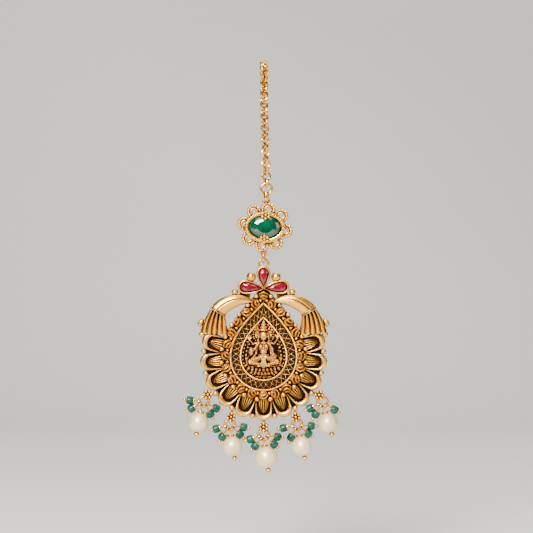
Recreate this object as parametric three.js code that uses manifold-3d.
// A maang tikka in antique gold: a hair hook and chain, a flower set with a green oval stone,
// and a temple pendant with a seated goddess, three red drops, a scalloped rim and five pearl drops.
// Millimetres and degrees. The pieces are laid out on a bench, x to the right, y up the ornament
// and z towards the viewer, and the finished group is stood upright at the end.
import * as THREE from "three";
import { mergeVertices } from "three/addons/utils/BufferGeometryUtils.js";
import Module from "manifold-3d";

// Driving dimensions
const clearance = 0.1; // between two pieces that hang or sit in each other

const chain = {
  wire: 0.6,
  outer: 2.4,
  fused: 0.05, // how deep neighbouring links sink into one another
  straight: 18, // length of the stretch that hangs straight
  rollRadius: 11.5, // of the bend over the top of the head
  rollTurn: 112,
  lean: 0.5, // how far the lower end stands to the right
  twistAtEnds: 14, // of the links about the chain's own line
  twistInMiddle: 42,
};
const hook = { wire: 0.8, outer: 2.7, shank: 4.2, bendRadius: 1.55, tip: 3.2 };
const chainRing = { wire: 0.6, outer: 3.1 };
const upperLink = { wire: 0.75, outer: 3.2, depth: 2.4 };
const lowerLink = { wire: 0.7, outer: 2.72, depth: 2.2 };

const flower = {
  turn: -3, // the whole flower hangs a little askew
  behind: 0.8, // how far its back lies behind the line it hangs on
  plate: 0.6,
  petals: 8,
  petalTurn: -7,
  petalOuter: 3.3,
  petalBand: 1.2,
  petalDepth: 1.1,
  petalRingWide: 9.6, // the oval that the petals' centres lie on
  petalRingTall: 8.35,
  loopWire: 0.45,
  loopOuter: 1.78,
  loopSunk: 0.75, // how deep a loop is soldered into its petal
  clusterTilt: 25, // of each cluster, up towards the stone
};
const emerald = { wide: 7.4, tall: 5.3, side: 0.75, crown: 0.9, wall: 0.95 };

const granule = { size: 0.8, spacing: 0.78 }; // the tiny solder balls of a cluster

const pendant = {
  behind: 0.72, // how far its back lies behind the line it hangs on
  plate: 0.7,
  plateRadius: 9.5, // of the round lower part of the teardrop plate
  plateTip: 16.3, // from the centre of that round part to the tip
  ringWire: 0.56,
  ringOuter: 2.76,
  ringHeight: 21.5, // from the same centre to the ring's centre
};
const outerWire = { radius: 7.63, tip: 12.4, wire: 0.66 };
const innerWire = { radius: 5.3, tip: 9.15, wire: 0.56 };
const rosette = { count: 22, size: 2.15, height: 0.95, radius: 8.8, tip: 14.25 };
const rimBall = { size: 1.0, outset: 0.98, height: 0.75 };

const scallop = {
  count: 11,
  spacing: 21.2, // degrees from one to the next
  reach: 14.7, // from the centre to the outermost edge
  apart: 1.51, // from one to the next, where their outermost edges are
  thick: 1.55, // at the outermost edge
  side: 0.6, // where the arms begin
  end: 0.42, // where the arms end
  root: 9.15, // from the centre to the arms' ends
  rootWidth: 3.5,
  depth: 1.25,
  lift: 0.7, // of its middle, above the pendant's back
};
const rimPlate = { inset: 2.0, thick: 0.3, turn: 116 }; // the thin ground under the scallops, either way
const scallopWidth = 2 * scallop.reach * Math.sin((Math.PI * scallop.spacing) / 360) - scallop.apart;
// Each inset is counted from the scallops' outermost edge.
const leaf = { root: 9.3, inset: 1.6, width: 3, depth: 1, lift: 0.62 };
const edgeBall = { inset: 1.05, sunk: 0.12, lift: 0.75 }; // sunk into the scallops at its sides
const cornerBall = { size: 1.5, inset: -0.36, turn: 110.2 };

const horn = {
  reach: 10.15, // from the middle to the centre of its band
  rise: 13.2, // of its back, from the pendant's centre
  lift: 1.15,
  half: 1.95,
  depth: 1.08,
  skirtHalf: 3.35,
  skirtDepth: 1.15,
  flutes: 5,
};
const hornBand = { wide: 1.06, thick: 0.3 }; // shares of the horn's size, and its own thickness
// A curl sits at the skirt's outer edge: past is counted from that edge, above from the skirt's third station.
const skirtCurl = { past: 0.5, above: 0.34, wide: 1.3, tall: 2.3, turn: 28, lift: 0.85 };
// Two small pieces go with the horn: inset is counted in from its reach, above from its rise.
const smallBall = { size: 1.5, inset: 3.55, above: 1.75, lift: 1.1 };
const saddle = { size: 2.6, thick: 0.6, inset: 5.85, above: 1.05 }; // under a side ruby's setting

const ruby = { side: 0.5, crown: 0.55, wall: 0.6, height: 1.45 };
const topRuby = { width: 2.05, length: 4.1, x: 0, y: 15.7, turn: 0 };
const sideRuby = { width: 2.15, length: 5.0, x: 0.25, y: 15.75, turn: 85.5 };
const bigBall = { size: 2.25, x: 2.85, y: 18.45, lift: 1.15 };

const dropRing = { wire: 0.58, outer: 2.8, under: 1.85 }; // under its cluster's centre
const stem = 0.6; // the post from the rim to a cluster
const pinWire = 0.26;
const pearlPin = { stem: 1.55, cap: 1.6, capHeight: 0.3, ball: 1.1 };
const bead = { size: 1.72, length: 1.5, reach: 3.25, ball: 0.86 };

// The five drops. along: length round the rim from its lowest place, to the right. out: of the cluster,
// from the rim's outermost edge. lean: of its ring. grip: of the pearl's loop on that ring. swing: of the pearl.
// beads: directions of the green beads.
const drops = [
  { name: "far_left", along: -15.13, out: 0.75, lean: -29, grip: -24, swing: -11, pearl: 4.6, beads: [-95, -61, 27, 61] },
  { name: "left", along: -7.78, out: 0.95, lean: -10, grip: 0, swing: 10, pearl: 4.65, beads: [-73, -32, 46, 80] },
  { name: "middle", along: 0, out: 1.35, lean: 0, grip: 0, swing: 9, pearl: 5.1, beads: [-72, -37, 48, 82] },
  { name: "right", along: 7.73, out: 0.95, lean: 10, grip: 9, swing: 13, pearl: 4.65, beads: [-77, -26, 52, 86] },
  { name: "far_right", along: 15.02, out: 0.75, lean: 26, grip: 8, swing: 17, pearl: 4.6, beads: [-64, -30, 57] },
];

// The horn's centre line, from its tip to its band, and the skirt's below it.
// All are shares: x of the horn's reach, y of its rise, half and deep of the horn's or the skirt's size.
const hornLine = [
  { x: -0.227, y: 0.966, half: 0.12, deep: 0.3 },
  { x: -0.404, y: 0.994, half: 0.44, deep: 0.6 },
  { x: -0.591, y: 0.994, half: 0.7, deep: 0.85 },
  { x: -0.759, y: 0.956, half: 0.84, deep: 0.95 },
  { x: -0.911, y: 0.889, half: 0.92, deep: 1 },
  { x: -1.025, y: 0.806, half: 0.98, deep: 1 },
];
const skirtLine = [
  { x: -1.025, y: 0.803, half: 0.59, deep: 0.9 },
  { x: -1.067, y: 0.7, half: 0.68, deep: 0.95 },
  { x: -1.101, y: 0.573, half: 0.83, deep: 1 },
  { x: -1.115, y: 0.436, half: 0.98, deep: 0.9 },
];

// The seated goddess, built up from rounded masses: places from the pendant's centre, full sizes, turn.
// x, y, wide and tall are shares of the inner wire's radius, lift and deep of the relief's depth.
const reliefDepth = 1.7;
const figure = [
  { part: "crown", x: 0, y: 1.302, lift: 0.088, wide: 0.377, tall: 0.679, deep: 0.941, turn: 0 },
  { part: "halo", x: 0, y: 1.057, lift: -0.147, wide: 0.811, tall: 0.868, deep: 0.412, turn: 0 },
  { part: "head", x: 0, y: 0.896, lift: 0.235, wide: 0.377, tall: 0.472, deep: 1, turn: 0 },
  { part: "chest", x: 0, y: 0.491, lift: 0.118, wide: 0.547, tall: 0.528, deep: 1, turn: 0 },
  { part: "waist", x: 0, y: 0.17, lift: 0.059, wide: 0.302, tall: 0.415, deep: 0.765, turn: 0 },
  { part: "left_arm", x: -0.358, y: 0.434, lift: 0, wide: 0.189, tall: 0.566, deep: 0.647, turn: -28 },
  { part: "right_arm", x: 0.349, y: 0.396, lift: 0, wide: 0.189, tall: 0.604, deep: 0.647, turn: 24 },
  { part: "left_hand", x: -0.538, y: 0.236, lift: 0.118, wide: 0.217, tall: 0.396, deep: 0.706, turn: 0 },
  { part: "right_hand", x: 0.415, y: 0.038, lift: 0.118, wide: 0.302, tall: 0.302, deep: 0.706, turn: 0 },
  { part: "left_lotus", x: -0.632, y: 0.698, lift: -0.029, wide: 0.226, tall: 0.321, deep: 0.529, turn: 20 },
  { part: "right_lotus", x: 0.613, y: 0.811, lift: -0.029, wide: 0.189, tall: 0.509, deep: 0.529, turn: 35 },
  { part: "left_knee", x: -0.509, y: -0.189, lift: 0.059, wide: 0.755, tall: 0.321, deep: 0.765, turn: 14 },
  { part: "right_knee", x: 0.509, y: -0.245, lift: 0.059, wide: 0.755, tall: 0.321, deep: 0.765, turn: -14 },
  { part: "lap", x: 0, y: -0.302, lift: 0.088, wide: 0.415, tall: 0.377, deep: 0.824, turn: 0 },
  { part: "throne", x: 0, y: -0.604, lift: -0.029, wide: 1.17, tall: 0.321, deep: 0.706, turn: 0 },
  { part: "throne_foot", x: 0, y: -0.811, lift: -0.088, wide: 0.679, tall: 0.245, deep: 0.588, turn: 0 },
];

// How finely round things are faceted
const wireSides = 5;
const linkSteps = 10;
const beadSides = 10;
const outlineSteps = 8;
const fine = 0.03; // edges that matter less than this are merged

const wasm = await Module();
wasm.setup();
const radians = THREE.MathUtils.degToRad;
const halfTurn = 180;

// A closed three.js geometry as a solid that can be joined and cut, with its faces pointing out.
function solid(geometry) {
  const bare = new THREE.BufferGeometry();
  const loose = geometry.index ? geometry.toNonIndexed() : geometry;
  bare.setAttribute("position", loose.getAttribute("position"));
  const merged = mergeVertices(bare);
  const vertProperties = merged.attributes.position.array;
  const triVerts = new Uint32Array(merged.index.array);
  const made = new wasm.Manifold(new wasm.Mesh({ numProp: 3, vertProperties, triVerts }));
  if (made.volume() > 0) return made;
  for (let i = 0; i < triVerts.length; i += 3) {
    [triVerts[i + 1], triVerts[i + 2]] = [triVerts[i + 2], triVerts[i + 1]];
  }
  return new wasm.Manifold(new wasm.Mesh({ numProp: 3, vertProperties, triVerts }));
}

function joined(geometries) {
  return wasm.Manifold.union(geometries.map(solid));
}

// The same solid with the small voids shut in between its joined pieces filled.
function withoutVoids(made) {
  return wasm.Manifold.union(made.decompose().filter((body) => body.volume() > 0));
}

// The geometry of a joined or cut solid, without the slivers that joining leaves.
function geometryOf(made) {
  const { numProp, numVert, vertProperties, triVerts } = made.asOriginal().simplify(fine).getMesh();
  const position = new Float32Array(numVert * 3);
  for (let i = 0; i < numVert; i++) {
    position.set(vertProperties.subarray(i * numProp, i * numProp + 3), i * 3);
  }
  const geometry = new THREE.BufferGeometry();
  geometry.setAttribute("position", new THREE.BufferAttribute(position, 3));
  geometry.setIndex(new THREE.BufferAttribute(new Uint32Array(triVerts), 1));
  return geometry;
}

// Scales a geometry, turns it in degrees about x and then z, and moves it.
function placed(geometry, { x = 0, y = 0, z = 0, tip = 0, turn = 0, scale = [1, 1, 1] }) {
  const spin = new THREE.Euler(radians(tip), 0, radians(turn), "ZYX");
  const matrix = new THREE.Matrix4().compose(
    new THREE.Vector3(x, y, z),
    new THREE.Quaternion().setFromEuler(spin),
    new THREE.Vector3(...scale),
  );
  return geometry.applyMatrix4(matrix);
}

// A point at a distance and an angle from straight down, counted to the right.
function polar(distance, angle) {
  return { x: distance * Math.sin(radians(angle)), y: -distance * Math.cos(radians(angle)) };
}

function ball(size, sides = beadSides, rings = 5) {
  return new THREE.SphereGeometry(size / 2, sides, rings);
}

// A round or, where it is taller than its depth, oval link of round wire, in the x-y plane.
function link({ wire, outer, depth = outer }, sides = wireSides) {
  const torus = new THREE.TorusGeometry((depth - wire) / 2, wire / 2, sides, linkSteps);
  torus.rotateZ(radians(halfTurn / linkSteps));
  const position = torus.getAttribute("position");
  for (let i = 0; i < position.count; i++) {
    position.setY(i, position.getY(i) + (Math.sign(position.getY(i)) * (outer - depth)) / 2);
  }
  return torus;
}

// Half the height of the hole in a link.
function hole({ wire, outer }) {
  return outer / 2 - wire;
}

// How far below the upper one's centre the lower one of two linked links hangs.
function hang(upper, lower) {
  return hole(upper) + hole(lower) - clearance;
}

// Rings of points as one closed skin, its ends closed with a fan.
function loft(rings) {
  const size = rings[0].length;
  const points = rings.flat();
  const faces = [];
  for (let r = 0; r + 1 < rings.length; r++) {
    for (let i = 0; i < size; i++) {
      const a = r * size + i;
      const b = r * size + ((i + 1) % size);
      faces.push(a, b, a + size, b, b + size, a + size);
    }
  }
  [rings[0], rings.at(-1)].forEach((ring, end) => {
    const middle = ring.reduce((sum, p) => sum.add(p), new THREE.Vector3()).divideScalar(size);
    const first = end * (rings.length - 1) * size;
    const centre = points.push(middle) - 1;
    for (let i = 0; i < size; i++) {
      const pair = [first + i, first + ((i + 1) % size)];
      faces.push(centre, ...(end ? pair : pair.reverse()));
    }
  });
  return new THREE.BufferGeometry().setFromPoints(points).setIndex(faces);
}

// A round section, as shares of its half width and half depth.
function roundSection(sides) {
  return Array.from({ length: sides }, (_, i) => {
    const angle = (i * 2 * Math.PI) / sides;
    return { across: Math.cos(angle), up: Math.sin(angle) };
  });
}

// A section carried along stations in the x-y plane, each with its own half width and half depth.
function sweep(stations, section) {
  const rings = stations.map(({ x, y, z, half, deep }, i) => {
    const before = stations[Math.max(i - 1, 0)];
    const after = stations[Math.min(i + 1, stations.length - 1)];
    const along = new THREE.Vector2(after.x - before.x, after.y - before.y).normalize();
    return section.map(
      ({ across, up }) =>
        new THREE.Vector3(x - along.y * across * half, y + along.x * across * half, z + up * deep),
    );
  });
  return loft(rings);
}

// A teardrop: a round lower half, and two flanks that run up to a tip.
function teardrop(radius, tip) {
  const shoulder = { x: 0.57 * radius, y: 0.665 * tip };
  const flank = { x: radius, y: 0.37 * tip };
  const outline = new THREE.Shape();
  outline.moveTo(0, tip);
  outline.bezierCurveTo(-shoulder.x, shoulder.y, -flank.x, flank.y, -radius, 0);
  outline.absarc(0, 0, radius, Math.PI, 2 * Math.PI, false);
  outline.bezierCurveTo(flank.x, flank.y, shoulder.x, shoulder.y, 0, tip);
  return outline;
}

function slab(outline, thickness) {
  const settings = { depth: thickness, bevelEnabled: false, curveSegments: outlineSteps };
  return new THREE.ExtrudeGeometry(outline, settings);
}

// A round wire that follows a teardrop.
function teardropWire({ radius, tip, wire }, lift) {
  const steps = 4 * outlineSteps;
  const points = teardrop(radius, tip).getSpacedPoints(steps).slice(0, -1);
  const line = new THREE.CatmullRomCurve3(
    points.map((p) => new THREE.Vector3(p.x, p.y, lift)),
    true,
  );
  return new THREE.TubeGeometry(line, steps, wire / 2, wireSides, true);
}

// Places spread evenly along a teardrop, with the outward direction at each.
function around({ radius, tip }, count, offset = 0) {
  const outline = teardrop(radius, tip);
  return Array.from({ length: count }, (_, i) => {
    const share = (i + offset) / count;
    const point = outline.getPointAt(share);
    const along = outline.getTangentAt(share);
    return { x: point.x, y: point.y, outX: along.y, outY: -along.x };
  });
}

// Seven solder balls, one in the middle and six round it, on a small six-sided plate.
function cluster() {
  const places = [{ x: 0, y: 0 }];
  for (let i = 0; i < 6; i++) places.push(polar(granule.spacing, i * 60));
  const balls = places.map((at) => placed(new THREE.IcosahedronGeometry(granule.size / 2), at));
  const back = new THREE.CylinderGeometry(granule.spacing, granule.spacing, granule.size / 2, 6);
  return [...balls, back.rotateX(Math.PI / 2)];
}

// A cut stone with a flat table: rings of its outline, drawn in towards the table.
function cutStone(outline, side, crown) {
  const courses = [
    { share: 1, z: 0 },
    { share: 1, z: side },
    { share: 0.84, z: side + 0.62 * crown },
    { share: 0.5, z: side + crown },
  ];
  const middle = outline.reduce((sum, p) => sum.add(p), new THREE.Vector2()).divideScalar(outline.length);
  return loft(
    courses.map(({ share, z }) =>
      outline.map((p) => {
        const drawn = p.clone().sub(middle).multiplyScalar(share).add(middle);
        return new THREE.Vector3(drawn.x, drawn.y, z);
      }),
    ),
  );
}

function oval(wide, tall) {
  return new THREE.Shape().absellipse(0, 0, wide / 2, tall / 2, 0, 2 * Math.PI, false);
}

// Materials
const antiqueGold = new THREE.MeshStandardMaterial({ color: 0xb5853a, metalness: 1, roughness: 0.38 });
const brightGold = new THREE.MeshStandardMaterial({ color: 0xe0b04e, metalness: 1, roughness: 0.28 });
const greenStone = new THREE.MeshStandardMaterial({ color: 0x07502f, metalness: 0, roughness: 0.08 });
const greenBead = new THREE.MeshStandardMaterial({ color: 0x17735a, metalness: 0, roughness: 0.25 });
const redStone = new THREE.MeshStandardMaterial({ color: 0x8e0f2e, metalness: 0, roughness: 0.1 });
const pearlWhite = new THREE.MeshStandardMaterial({ color: 0xf2e8d2, metalness: 0, roughness: 0.22 });

function named(name, geometry, material) {
  const mesh = new THREE.Mesh(geometry, material);
  mesh.name = name;
  return mesh;
}

// The chain's route, measured from its lower end: straight up, then back over the head.
const linkPitch = chain.outer - chain.wire - chain.wire * Math.cos(Math.PI / wireSides) + chain.fused;
const routeLength = chain.straight + chain.rollRadius * radians(chain.rollTurn);
const linkCount = 2 * Math.round(routeLength / linkPitch / 2);

function routeAt(distance) {
  const angle = Math.max(distance - chain.straight, 0) / chain.rollRadius;
  const rise = Math.min(distance, chain.straight) + chain.rollRadius * Math.sin(angle);
  const back = chain.rollRadius * (1 - Math.cos(angle));
  const lean = chain.lean * Math.max(1 - distance / chain.straight, 0);
  return {
    point: new THREE.Vector3(lean, rise, -back),
    along: new THREE.Vector3(0, Math.cos(angle), -Math.sin(angle)),
    inward: new THREE.Vector3(0, -Math.sin(angle), -Math.cos(angle)),
  };
}

function chainGeometry() {
  const links = [];
  for (let i = 0; i < linkCount; i++) {
    const { point, along, inward } = routeAt((i + 0.5) * linkPitch);
    const swell = Math.sin((Math.PI * i) / (linkCount - 1));
    const twist = chain.twistAtEnds + (chain.twistInMiddle - chain.twistAtEnds) * swell;
    const angle = radians(twist + (i % 2 ? 0 : 90));
    const across = new THREE.Vector3(Math.cos(angle), 0, 0).addScaledVector(inward, Math.sin(angle));
    const facing = across.clone().cross(along);
    const matrix = new THREE.Matrix4().makeBasis(across, along, facing).setPosition(point);
    links.push(link(chain).applyMatrix4(matrix));
  }
  return geometryOf(joined(links));
}

// The hook: an eye, a shank, a half round bend and a returning tip, in the plane of the chain's bend.
function hookGeometry() {
  const eyeEdge = (hook.outer - hook.wire) / 2;
  const bendStart = eyeEdge + hook.shank;
  const line = [{ x: 0, y: eyeEdge }];
  const bendSteps = 6;
  for (let i = 0; i <= bendSteps; i++) {
    const angle = (Math.PI * i) / bendSteps;
    const x = hook.bendRadius * (1 - Math.cos(angle));
    line.push({ x, y: bendStart + hook.bendRadius * Math.sin(angle) });
  }
  line.push({ x: 2 * hook.bendRadius, y: bendStart - hook.tip });
  const half = hook.wire / 2;
  const stations = line.map((at) => ({ ...at, z: 0, half, deep: half }));
  const rod = sweep(stations, roundSection(8));
  return geometryOf(joined([link(hook), rod]));
}

// How far the hook's eye lies past the chain's last link, and the middle of its bend past its eye.
const hookStep = hang(chain, hook);
const bendPlace = { x: hook.bendRadius, y: (hook.outer - hook.wire) / 2 + hook.shank };

// Three stacked parts of the flower: its petals, the stone's setting and the clusters that grip it.
function flowerPetals() {
  const { petalOuter, petalBand, petalDepth } = flower;
  const radius = (petalOuter - petalBand) / 2;
  const squash = petalDepth / petalBand;
  return Array.from({ length: flower.petals }, (_, i) => {
    const angle = radians((i * 360) / flower.petals - flower.petalTurn);
    const direction = { x: Math.sin(angle), y: Math.cos(angle) };
    const reach = 1 / Math.hypot((2 * direction.x) / flower.petalRingWide, (2 * direction.y) / flower.petalRingTall);
    const ring = new THREE.TorusGeometry(radius, petalBand / 2, 6, linkSteps);
    return placed(ring, {
      x: direction.x * reach,
      y: direction.y * reach,
      z: petalDepth / 2,
      scale: [1, 1, squash],
    });
  });
}

// The height of the stone's setting, half way up the crown.
const settingTop = flower.plate + emerald.side + emerald.crown / 2;

function emeraldWall() {
  return solid(slab(oval(emerald.wide + 2 * emerald.wall, emerald.tall + 2 * emerald.wall), settingTop));
}

function emeraldSeat() {
  const seat = oval(emerald.wide + 2 * clearance, emerald.tall + 2 * clearance);
  return solid(slab(seat, settingTop).translate(0, 0, flower.plate));
}

// The clusters stand on the setting's wall and lean over the stone.
function flowerClusters() {
  const y = emerald.tall / 2 + emerald.wall / 2 - granule.size / 2;
  const z = settingTop + granule.size / 4 + granule.spacing * Math.sin(radians(flower.clusterTilt));
  const upper = cluster().map((g) => placed(g, { y, z, tip: -flower.clusterTilt }));
  const lower = cluster().map((g) => placed(g, { y: -y, z, tip: flower.clusterTilt }));
  return [...upper, ...lower];
}

// From the stone's centre to each loop's centre.
const loopReach = (flower.petalRingTall + flower.petalOuter + flower.loopOuter) / 2 - flower.loopSunk;

function loopAt(y) {
  return placed(link({ wire: flower.loopWire, outer: flower.loopOuter }), { y, z: flower.behind });
}

function flowerGeometry() {
  const cup = joined(flowerPetals()).add(emeraldWall()).subtract(emeraldSeat());
  const loops = [loopAt(loopReach), loopAt(-loopReach)];
  return geometryOf(cup.add(joined([...flowerClusters(), ...loops])));
}

function emeraldGeometry() {
  const outline = oval(emerald.wide, emerald.tall).getPoints(6).slice(0, -1);
  return cutStone(outline, emerald.side, emerald.crown);
}

// The red stones sit in teardrop settings whose tips meet above the pendant's plate.
function rubyOutline({ width, length }, grow = 0) {
  return teardrop(width / 2 + grow, length - width / 2 + grow);
}

// The place of a red stone: its tip points at the meeting point and its round end away from it.
function rubyPlace({ width, length, x, y, turn }) {
  const step = length - width / 2 + ruby.wall;
  return { x: x - step * Math.sin(radians(turn)), y: y + step * Math.cos(radians(turn)), turn: turn + halfTurn };
}

function rubySetting(stone) {
  const wall = solid(placed(slab(rubyOutline(stone, ruby.wall), ruby.height), rubyPlace(stone)));
  const seat = slab(rubyOutline(stone, clearance), ruby.height);
  return wall.subtract(solid(placed(seat, { ...rubyPlace(stone), z: pendant.plate })));
}

const rubies = [
  { name: "ruby_top", ...topRuby },
  { name: "ruby_left", ...sideRuby },
  { name: "ruby_right", ...sideRuby, x: -sideRuby.x, turn: -sideRuby.turn },
];

// Both sides of a piece that is described on the left.
function bothSides(make) {
  return [make(), make().scale(-1, 1, 1)];
}

// The place, on the left, of a piece that goes with the horn.
function byHorn({ inset, above }) {
  return { x: inset - horn.reach, y: horn.rise + above };
}

function hornStations(line, half, depth) {
  return line.map(({ x, y, half: halfShare, deep: deepShare }) => ({
    x: x * horn.reach,
    y: y * horn.rise,
    z: horn.lift,
    half: half * halfShare,
    deep: depth * deepShare,
  }));
}

// A section that is smooth behind and fluted in front, one ridge to a flute.
function flutedSection() {
  const front = 2 * horn.flutes;
  const groove = 0.78;
  const points = [];
  for (let i = 0; i <= front; i++) {
    const angle = (Math.PI * i) / front;
    points.push({ across: Math.cos(angle), up: Math.sin(angle) * (i % 2 ? 1 : groove) });
  }
  points.push({ across: -0.6, up: -0.85 }, { across: 0.6, up: -0.85 });
  return points;
}

function hornPieces() {
  const [hornEnd, skirtStart] = [hornLine.at(-1), skirtLine[0]];
  const bandLine = [
    { x: hornEnd.x * horn.reach, y: hornEnd.y * horn.rise },
    { x: skirtStart.x * horn.reach, y: skirtStart.y * horn.rise - hornBand.thick },
  ].map((at) => ({
    ...at,
    z: horn.lift,
    half: horn.half * hornBand.wide,
    deep: horn.depth * hornBand.wide,
  }));
  const skirt = hornStations(skirtLine, horn.skirtHalf, horn.skirtDepth);
  const beside = skirt[2];
  return [
    ...bothSides(() => sweep(hornStations(hornLine, horn.half, horn.depth), roundSection(8))),
    ...bothSides(() => sweep(bandLine, roundSection(10))),
    ...bothSides(() => sweep(skirt, flutedSection())),
    ...bothSides(() =>
      placed(ball(1, 8, 4), {
        x: beside.x - beside.half - skirtCurl.past,
        y: beside.y + skirtCurl.above,
        z: skirtCurl.lift,
        turn: -skirtCurl.turn,
        scale: [skirtCurl.wide, skirtCurl.tall, skirtCurl.wide],
      }),
    ),
  ];
}

// A thin fan-shaped plate under the scallops, from the pendant's centre.
function rimPlatePiece() {
  const radius = scallop.reach - rimPlate.inset;
  const start = radians(-90 - rimPlate.turn);
  const fan = new THREE.Shape().absarc(0, 0, radius, start, radians(rimPlate.turn - 90), false);
  return new THREE.ExtrudeGeometry(fan, { depth: rimPlate.thick, bevelEnabled: false, curveSegments: 2 * outlineSteps });
}

// One scallop of the rim, pointing down: a crescent, thick at its outermost edge, with two arms.
function scallopPiece() {
  const outerHalf = scallopWidth / 2;
  const bend = [10, 38, 66].map((angle) => {
    const swell = (scallop.thick - scallop.side) * Math.sin(radians(angle));
    const half = (scallop.side + swell) / 2;
    const from = polar(outerHalf - half, 90 - angle);
    return { across: from.x, down: scallop.reach - outerHalf - from.y, half };
  });
  const rows = [{ across: scallop.rootWidth / 2, down: scallop.root, half: scallop.end / 2 }, ...bend];
  const left = rows.map(({ across, ...rest }) => ({ across: -across, ...rest }));
  const tip = { across: 0, down: scallop.reach - scallop.thick / 2, half: scallop.thick / 2 };
  const stations = [...rows, tip, ...left.reverse()].map(({ across, down, half }) => ({
    x: across,
    y: -down,
    z: scallop.lift,
    half,
    deep: Math.min(half * 1.5, scallop.depth / 2),
  }));
  return sweep(stations, roundSection(6));
}

function leafPiece() {
  const tip = scallop.reach - leaf.inset;
  const stations = [
    { y: -leaf.root, half: (0.9 * leaf.width) / 2 },
    { y: -(0.6 * leaf.root + 0.4 * tip), half: leaf.width / 2 },
    { y: -tip, half: leaf.width / 24 },
  ].map(({ y, half }) => ({ x: 0, y, z: leaf.lift, half, deep: (leaf.depth * half) / leaf.width }));
  return sweep(stations, roundSection(4));
}

// A ball of the size that reaches into the scallops at its sides.
function edgeBallPiece() {
  const outerHalf = scallopWidth / 2;
  const at = polar(scallop.reach - edgeBall.inset, scallop.spacing / 2);
  const gap = Math.hypot(at.x, at.y + scallop.reach - outerHalf) - outerHalf;
  return ball(2 * (gap + edgeBall.sunk), 8, 4);
}

function rimPieces() {
  const pieces = [];
  const side = (scallop.count - 1) / 2;
  for (let i = -side; i <= side; i++) {
    const turn = i * scallop.spacing;
    pieces.push(placed(scallopPiece(), { turn }), placed(leafPiece(), { turn }));
  }
  for (let i = -side; i < side; i++) {
    const at = polar(scallop.reach - edgeBall.inset, (i + 0.5) * scallop.spacing);
    pieces.push(placed(edgeBallPiece(), { ...at, z: edgeBall.lift }));
  }
  const corner = { ...polar(scallop.reach - cornerBall.inset, -cornerBall.turn), z: edgeBall.lift };
  pieces.push(...bothSides(() => placed(ball(cornerBall.size, 8, 4), corner)));
  return pieces;
}

function rosettePieces() {
  const nuggets = around(rosette, rosette.count).map(({ x, y }) =>
    placed(ball(rosette.size, 8, 4), {
      x,
      y,
      z: rosette.height,
      scale: [1, 1, (2 * rosette.height) / rosette.size],
    }),
  );
  const balls = around(rosette, rosette.count, 0.5).map(({ x, y, outX, outY }) =>
    placed(new THREE.IcosahedronGeometry(rimBall.size / 2), {
      x: x + outX * rimBall.outset,
      y: y + outY * rimBall.outset,
      z: rimBall.height,
    }),
  );
  return [...nuggets, ...balls];
}

function figurePieces() {
  const across = innerWire.radius;
  return figure.map(({ x, y, lift, wide, tall, deep, turn }) =>
    placed(ball(1, 8, 5), {
      x: x * across,
      y: y * across,
      z: pendant.plate + lift * reliefDepth,
      turn,
      scale: [wide * across, tall * across, deep * reliefDepth],
    }),
  );
}

// A drop's direction in degrees from straight down, and the places of its cluster and its ring.
function dropAngle({ along, out }) {
  return THREE.MathUtils.radToDeg(along / (scallop.reach + out));
}

function clusterPlace(drop) {
  return polar(scallop.reach + drop.out, dropAngle(drop));
}

function ringPlace(drop) {
  const top = clusterPlace(drop);
  const below = polar(dropRing.under, drop.lean);
  return { x: top.x + below.x, y: top.y + below.y };
}

// A hanger: a post from the rim, a cluster of solder balls, and the ring that its drops hang on.
function hangerPieces(drop) {
  const top = clusterPlace(drop);
  const footStep = scallop.spacing / 2; // a post stands on the nearest ball or scallop
  const foot = polar(scallop.reach - edgeBall.inset, Math.round(dropAngle(drop) / footStep) * footStep);
  const z = pendant.behind;
  const half = stem / 2;
  const post = [foot, top].map((at) => ({ ...at, z, half, deep: half }));
  return [
    sweep(post, roundSection(6)),
    ...cluster().map((g) => placed(g, { ...top, z: z + granule.size / 4, turn: drop.lean })),
    placed(link(dropRing), { ...ringPlace(drop), z, turn: drop.lean }),
  ];
}

function crownPieces() {
  const saddlePiece = () =>
    placed(new THREE.CylinderGeometry(saddle.size / 2, saddle.size / 2, saddle.thick, 10), {
      ...byHorn(saddle),
      z: saddle.thick / 2,
      tip: 90,
    });
  return [
    ...bothSides(() => placed(ball(bigBall.size, 12, 7), { x: -bigBall.x, y: bigBall.y, z: bigBall.lift })),
    ...bothSides(() => placed(ball(smallBall.size), { ...byHorn(smallBall), z: smallBall.lift })),
    ...bothSides(saddlePiece),
    placed(link({ wire: pendant.ringWire, outer: pendant.ringOuter }), {
      y: pendant.ringHeight,
      z: pendant.behind,
    }),
  ];
}

function pendantGeometry() {
  const plate = slab(teardrop(pendant.plateRadius, pendant.plateTip), pendant.plate);
  const raised = pendant.plate + outerWire.wire / 4;
  const metal = joined([
    plate,
    teardropWire(outerWire, raised),
    teardropWire(innerWire, raised),
    ...figurePieces(),
    ...rosettePieces(),
    rimPlatePiece(),
    ...rimPieces(),
    ...hornPieces(),
    ...crownPieces(),
    ...drops.flatMap(hangerPieces),
  ]);
  const settings = wasm.Manifold.union(rubies.map(rubySetting));
  const seats = rubies.map((stone) => {
    const seat = slab(rubyOutline(stone, clearance), ruby.height);
    return solid(placed(seat, { ...rubyPlace(stone), z: pendant.plate }));
  });
  return geometryOf(withoutVoids(metal.add(settings).subtract(wasm.Manifold.union(seats))));
}

function rubyGeometry(stone) {
  const outline = rubyOutline(stone).getSpacedPoints(12).slice(0, -1);
  return cutStone(outline, ruby.side, ruby.crown);
}

// A loop that rides on a drop's ring, standing across it, with its pin running down from it.
function pinLoop() {
  const outer = dropRing.wire + 2 * clearance + 2 * pinWire;
  return { outer, geometry: link({ wire: pinWire, outer }).rotateY(Math.PI / 2) };
}

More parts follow.
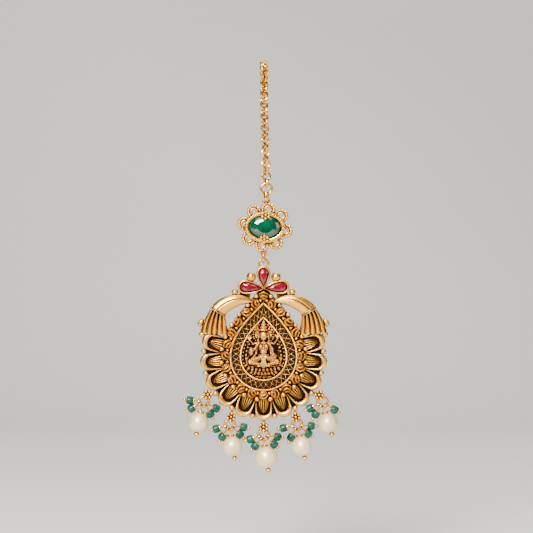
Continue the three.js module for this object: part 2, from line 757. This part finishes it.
// A round bar turned from a profile of radii and depths below the loop's centre.
function turned(profile, sides = beadSides) {
  const points = profile.map(([radius, depth]) => new THREE.Vector2(radius, -depth));
  return new THREE.LatheGeometry(points, sides);
}

// The pearl's pin: its loop, a thin stem, a cap above the pearl, and a ball below it.
function pearlPinGeometry(pearl) {
  const loop = pinLoop();
  const wire = pinWire / 2;
  const top = pearlPin.stem;
  const bottom = top + pearl + clearance;
  const capTop = top - clearance - pearlPin.capHeight;
  const shaft = turned([
    [0, loop.outer / 2 - wire],
    [wire, loop.outer / 2 - wire],
    [wire, capTop],
    [pearlPin.cap / 2, top - clearance],
    [wire, top - clearance],
    [wire, bottom],
    [pearlPin.ball / 2, bottom + 0.4 * pearlPin.ball],
    [0, bottom + pearlPin.ball],
  ]);
  return geometryOf(joined([loop.geometry, shaft]));
}

function pearlGeometry(pearl) {
  const depth = pearlPin.stem + pearl / 2;
  const body = solid(new THREE.SphereGeometry(pearl / 2, 12, 8).translate(0, -depth, 0));
  const bore = pinWire / 2 + clearance;
  const drill = new THREE.CylinderGeometry(bore, bore, pearl + 1, 6).translate(0, -depth, 0);
  return geometryOf(body.subtract(solid(drill)));
}

// A green bead on its own pin: loop, stem, barrel-shaped bead and end ball, from the ring's wire out.
function beadGeometry() {
  const loop = pinLoop();
  const wire = pinWire / 2;
  const ringRadius = (dropRing.outer - dropRing.wire) / 2;
  const middle = bead.reach - ringRadius;
  const [top, bottom] = [middle - bead.length / 2, middle + bead.length / 2];
  const shaft = turned([
    [0, loop.outer / 2 - wire],
    [wire, loop.outer / 2 - wire],
    [wire, top],
    [0.42 * bead.size, top],
    [0.5 * bead.size, middle],
    [0.42 * bead.size, bottom],
    [bead.ball / 2, bottom + 0.4 * bead.ball],
    [0, bottom + 0.9 * bead.ball],
  ]);
  return geometryOf(joined([loop.geometry, shaft]));
}

// One drop's pearl, pin and green beads, hung on its ring.
function dropPieces(drop) {
  const ring = ringPlace(drop);
  const radius = (dropRing.outer - dropRing.wire) / 2;
  const hung = (mesh, grip, swing) => {
    const at = polar(radius, grip);
    mesh.position.set(ring.x + at.x, ring.y + at.y, pendant.behind);
    mesh.rotation.z = radians(swing);
    return mesh;
  };
  const letters = ["a", "b", "c", "d"];
  return [
    hung(named(`pearl_${drop.name}`, pearlGeometry(drop.pearl), pearlWhite), drop.grip, drop.swing),
    hung(named(`pin_${drop.name}`, pearlPinGeometry(drop.pearl), brightGold), drop.grip, drop.swing),
    ...drop.beads.map((angle, i) =>
      hung(named(`bead_${drop.name}_${letters[i]}`, beadGeometry(), greenBead), angle, angle),
    ),
  ];
}

// Assembly: each group hangs from the one above it.
function hangingChain() {
  const group = new THREE.Group();
  const firstLink = linkPitch / 2;
  const ring = named("chain_ring", link(chainRing, 6), brightGold);
  ring.position.set(chain.lean, firstLink - hang(chain, chainRing), 0);
  const last = routeAt((linkCount - 0.5) * linkPitch);
  const hair = named("hair_hook", hookGeometry(), brightGold);
  const facing = last.inward.clone().cross(last.along);
  hair.applyMatrix4(new THREE.Matrix4().makeBasis(last.inward, last.along, facing));
  hair.position.copy(last.point).addScaledVector(last.along, hookStep);
  group.add(named("chain", chainGeometry(), brightGold), ring, hair);
  return { group, ring, hair };
}

function hangingFlower() {
  const group = new THREE.Group();
  const body = new THREE.Group();
  body.rotation.z = radians(flower.turn);
  body.position.z = -flower.behind;
  const stone = named("emerald", emeraldGeometry(), greenStone);
  stone.position.z = flower.plate + clearance;
  body.add(named("flower", flowerGeometry(), antiqueGold), stone);
  group.add(body);
  return group;
}

function hangingPendant() {
  const group = new THREE.Group();
  group.position.z = -pendant.behind;
  group.add(named("pendant_frame", pendantGeometry(), antiqueGold));
  for (const stone of rubies) {
    const mesh = named(stone.name, rubyGeometry(stone), redStone);
    const { x, y, turn } = rubyPlace(stone);
    mesh.position.set(x, y, pendant.plate + clearance);
    mesh.rotation.z = radians(turn);
    group.add(mesh);
  }
  group.add(...drops.flatMap(dropPieces));
  return group;
}

function standingLink(name, size) {
  const mesh = named(name, link(size), brightGold);
  mesh.rotation.y = Math.PI / 2;
  return mesh;
}

function assembly() {
  const bench = new THREE.Group();
  const { group: top, ring, hair } = hangingChain();
  const loop = { wire: flower.loopWire, outer: flower.loopOuter };
  const pendantRing = { wire: pendant.ringWire, outer: pendant.ringOuter };
  const turn = radians(flower.turn);

  const upper = standingLink("upper_link", upperLink);
  upper.position.set(ring.position.x, ring.position.y - hang(chainRing, upperLink), 0);
  const topLoopY = upper.position.y - hang(upperLink, loop);
  const middle = hangingFlower();
  middle.position.x = upper.position.x + Math.sin(turn) * loopReach;
  middle.position.y = topLoopY - Math.cos(turn) * loopReach;

  const lower = standingLink("lower_link", lowerLink);
  lower.position.x = middle.position.x + Math.sin(turn) * loopReach;
  lower.position.y = middle.position.y - Math.cos(turn) * loopReach - hang(loop, lowerLink);
  const bottom = hangingPendant();
  bottom.position.x = lower.position.x;
  bottom.position.y = lower.position.y - hang(lowerLink, pendantRing) - pendant.ringHeight;

  bench.add(top, upper, middle, lower, bottom);
  const bend = new THREE.Vector3(bendPlace.x, bendPlace.y, 0).applyQuaternion(hair.quaternion);
  bench.position.copy(hair.position).add(bend).negate();
  return bench;
}

// The origin is the middle of the hook's bend, where the hair carries it. The front faces -Y and up is +Z.
const tikka = new THREE.Group();
tikka.rotation.x = Math.PI / 2;
tikka.add(assembly());

export default tikka;
